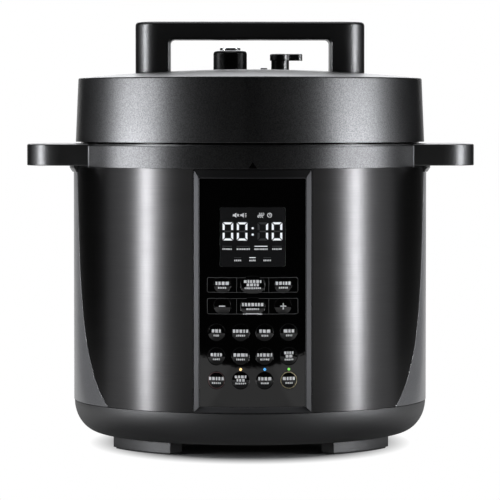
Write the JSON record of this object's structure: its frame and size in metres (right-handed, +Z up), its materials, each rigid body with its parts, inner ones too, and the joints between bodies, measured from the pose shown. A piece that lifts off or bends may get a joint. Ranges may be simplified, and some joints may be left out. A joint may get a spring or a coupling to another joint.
{
  "type": "electric pressure cooker",
  "caption": "Upright round electric pressure cooker with a domed lid, arch lid handle, side handles, steam valve, front control panel with keys and display, and a removable inner pot.",
  "frame": {"origin": "on the pot axis, at the level of the floor that the feet stand on", "axes": "+Z up along the pot axis, front panel towards -Y, +X to the right seen from the front"},
  "size_m": [0.335, 0.2934, 0.3197],
  "materials": {
    "satin_plastic": "satin metallic grey plastic",
    "rubber": "matte rubber",
    "dark_steel": "dark brushed steel sheet",
    "black_plastic": "satin black plastic",
    "trim_metal": "dark satin metallic trim",
    "lid_shell": "fine-grained dark satin plastic",
    "steel": "plain stainless steel",
    "aluminium": "plain aluminium",
    "inlet_plastic": "black moulded plastic",
    "brass": "plated brass pins",
    "board": "green circuit board",
    "clear_plastic": "clear plastic",
    "bezel": "dark satin frame",
    "gloss_black": "gloss black",
    "display_glass": "tinted window",
    "display": "dark display",
    "lights": "small indicator lights",
    "silicone": "translucent silicone",
    "polished": "polished metal disc"
  },
  "bodies": {
    "cooker": {"base_pan": "satin_plastic", "rear_shell": "satin_plastic", "foot_pads": "rubber", "front_wrap": "dark_steel", "upper_collar": "black_plastic", "side_handle_left": "black_plastic", "side_handle_right": "black_plastic", "collar_trim_front": "trim_metal", "collar_trim_rear": "trim_metal", "base_screws": "steel", "locking_ring": "steel", "plate_bracket": "steel", "heating_element": "steel", "inner_housing": "aluminium", "heating_plate": "aluminium", "power_inlet": "inlet_plastic", "pressure_switch": "inlet_plastic", "thermal_fuse": "inlet_plastic", "tact_switches": "inlet_plastic", "inlet_pins": "brass", "power_board": "board", "control_board": "board", "control_bezel": "bezel", "control_fascia": "gloss_black", "display_window": "display_glass", "display_module": "display", "indicator_lights": "lights"},
    "lid": {"lid_cover": "lid_shell", "pressure_lid": "steel", "seal_rack": "steel", "lid_handle": "black_plastic", "vent_pipe": "steel", "block_shield": "steel", "lid_screws": "steel"},
    "steam_valve": {"steam_valve": "gloss_black", "valve_disc": "polished"},
    "temperature_sensor": {"temperature_sensor": "steel"},
    "condensation_cup": {"condensation_cup": "clear_plastic"},
    "inner_pot": {"inner_pot": "steel"},
    "sealing_ring": {"sealing_ring": "silicone"},
    "release_lever": {"release_lever": "black_plastic"},
    "float_valve": {"float_valve": "steel"},
    "top_key_left": {"top_key_left": "gloss_black"},
    "top_key_middle": {"top_key_middle": "gloss_black"},
    "top_key_right": {"top_key_right": "gloss_black"},
    "lower_key_left": {"lower_key_left": "gloss_black"},
    "lower_key_middle": {"lower_key_middle": "gloss_black"},
    "lower_key_right": {"lower_key_right": "gloss_black"},
    "program_key_1": {"program_key_1": "gloss_black"},
    "program_key_2": {"program_key_2": "gloss_black"},
    "program_key_3": {"program_key_3": "gloss_black"},
    "program_key_4": {"program_key_4": "gloss_black"},
    "program_key_5": {"program_key_5": "gloss_black"},
    "program_key_6": {"program_key_6": "gloss_black"},
    "program_key_7": {"program_key_7": "gloss_black"},
    "program_key_8": {"program_key_8": "gloss_black"},
    "bottom_key_1": {"bottom_key_1": "gloss_black"},
    "bottom_key_2": {"bottom_key_2": "gloss_black"},
    "bottom_key_3": {"bottom_key_3": "gloss_black"},
    "bottom_key_4": {"bottom_key_4": "gloss_black"}
  },
  "joints": [
    {"name": "pot_lift", "type": "slide", "parent": "cooker", "child": "inner_pot", "axis": [0, 0, 1], "range_m": [0, 0.18]},
    {"name": "lid_lift", "type": "slide", "parent": "inner_pot", "child": "sealing_ring", "axis": [0, 0, 1], "range_m": [0, 0.3]},
    {"name": "lid_turn", "type": "hinge", "parent": "sealing_ring", "child": "lid", "pos_m": [0, 0, 0.2289], "axis": [0, 0, -1], "range_deg": [0, 30]},
    {"name": "steam_valve_lift", "type": "slide", "parent": "lid", "child": "steam_valve", "axis": [0, 0, 1], "range_m": [0, 0.025]},
    {"name": "release_lever_turn", "type": "hinge", "parent": "lid", "child": "release_lever", "pos_m": [0.024, 0.045, 0.2911], "axis": [0, 0, -1], "range_deg": [0, 60]},
    {"name": "float_rise", "type": "slide", "parent": "lid", "child": "float_valve", "axis": [0, 0, 1], "range_m": [0, 0.006]},
    {"name": "cup_pull", "type": "slide", "parent": "cooker", "child": "condensation_cup", "axis": [0, 1, 0], "range_m": [0, 0.04]},
    {"name": "sensor_press", "type": "slide", "parent": "cooker", "child": "temperature_sensor", "axis": [0, 0, -1], "range_m": [0, 0.002], "stiffness_N_per_m": 800, "springref_m": -0.002},
    {"name": "top_key_left_press", "type": "slide", "parent": "cooker", "child": "top_key_left", "axis": [0.1679, 0.9858, 0], "range_m": [0, 0.0008], "stiffness_N_per_m": 1500, "springref_m": -0.0004},
    {"name": "top_key_middle_press", "type": "slide", "parent": "cooker", "child": "top_key_middle", "axis": [0, 1, 0], "range_m": [0, 0.0008], "stiffness_N_per_m": 1500, "springref_m": -0.0004},
    {"name": "top_key_right_press", "type": "slide", "parent": "cooker", "child": "top_key_right", "axis": [-0.1679, 0.9858, 0], "range_m": [0, 0.0008], "stiffness_N_per_m": 1500, "springref_m": -0.0004},
    {"name": "lower_key_left_press", "type": "slide", "parent": "cooker", "child": "lower_key_left", "axis": [0.1679, 0.9858, 0], "range_m": [0, 0.0008], "stiffness_N_per_m": 1500, "springref_m": -0.0004},
    {"name": "lower_key_middle_press", "type": "slide", "parent": "cooker", "child": "lower_key_middle", "axis": [0, 1, 0], "range_m": [0, 0.0008], "stiffness_N_per_m": 1500, "springref_m": -0.0004},
    {"name": "lower_key_right_press", "type": "slide", "parent": "cooker", "child": "lower_key_right", "axis": [-0.1679, 0.9858, 0], "range_m": [0, 0.0008], "stiffness_N_per_m": 1500, "springref_m": -0.0004},
    {"name": "program_key_1_press", "type": "slide", "parent": "cooker", "child": "program_key_1", "axis": [0.1998, 0.9798, 0], "range_m": [0, 0.0008], "stiffness_N_per_m": 1500, "springref_m": -0.0004},
    {"name": "program_key_2_press", "type": "slide", "parent": "cooker", "child": "program_key_2", "axis": [0.0666, 0.9978, 0], "range_m": [0, 0.0008], "stiffness_N_per_m": 1500, "springref_m": -0.0004},
    {"name": "program_key_3_press", "type": "slide", "parent": "cooker", "child": "program_key_3", "axis": [-0.0666, 0.9978, 0], "range_m": [0, 0.0008], "stiffness_N_per_m": 1500, "springref_m": -0.0004},
    {"name": "program_key_4_press", "type": "slide", "parent": "cooker", "child": "program_key_4", "axis": [-0.1998, 0.9798, 0], "range_m": [0, 0.0008], "stiffness_N_per_m": 1500, "springref_m": -0.0004},
    {"name": "program_key_5_press", "type": "slide", "parent": "cooker", "child": "program_key_5", "axis": [0.1998, 0.9798, 0], "range_m": [0, 0.0008], "stiffness_N_per_m": 1500, "springref_m": -0.0004},
    {"name": "program_key_6_press", "type": "slide", "parent": "cooker", "child": "program_key_6", "axis": [0.0666, 0.9978, 0], "range_m": [0, 0.0008], "stiffness_N_per_m": 1500, "springref_m": -0.0004},
    {"name": "program_key_7_press", "type": "slide", "parent": "cooker", "child": "program_key_7", "axis": [-0.0666, 0.9978, 0], "range_m": [0, 0.0008], "stiffness_N_per_m": 1500, "springref_m": -0.0004},
    {"name": "program_key_8_press", "type": "slide", "parent": "cooker", "child": "program_key_8", "axis": [-0.1998, 0.9798, 0], "range_m": [0, 0.0008], "stiffness_N_per_m": 1500, "springref_m": -0.0004},
    {"name": "bottom_key_1_press", "type": "slide", "parent": "cooker", "child": "bottom_key_1", "axis": [0.1998, 0.9798, 0], "range_m": [0, 0.0008], "stiffness_N_per_m": 1500, "springref_m": -0.0004},
    {"name": "bottom_key_2_press", "type": "slide", "parent": "cooker", "child": "bottom_key_2", "axis": [0.0666, 0.9978, 0], "range_m": [0, 0.0008], "stiffness_N_per_m": 1500, "springref_m": -0.0004},
    {"name": "bottom_key_3_press", "type": "slide", "parent": "cooker", "child": "bottom_key_3", "axis": [-0.0666, 0.9978, 0], "range_m": [0, 0.0008], "stiffness_N_per_m": 1500, "springref_m": -0.0004},
    {"name": "bottom_key_4_press", "type": "slide", "parent": "cooker", "child": "bottom_key_4", "axis": [-0.1998, 0.9798, 0], "range_m": [0, 0.0008], "stiffness_N_per_m": 1500, "springref_m": -0.0004}
  ]
}
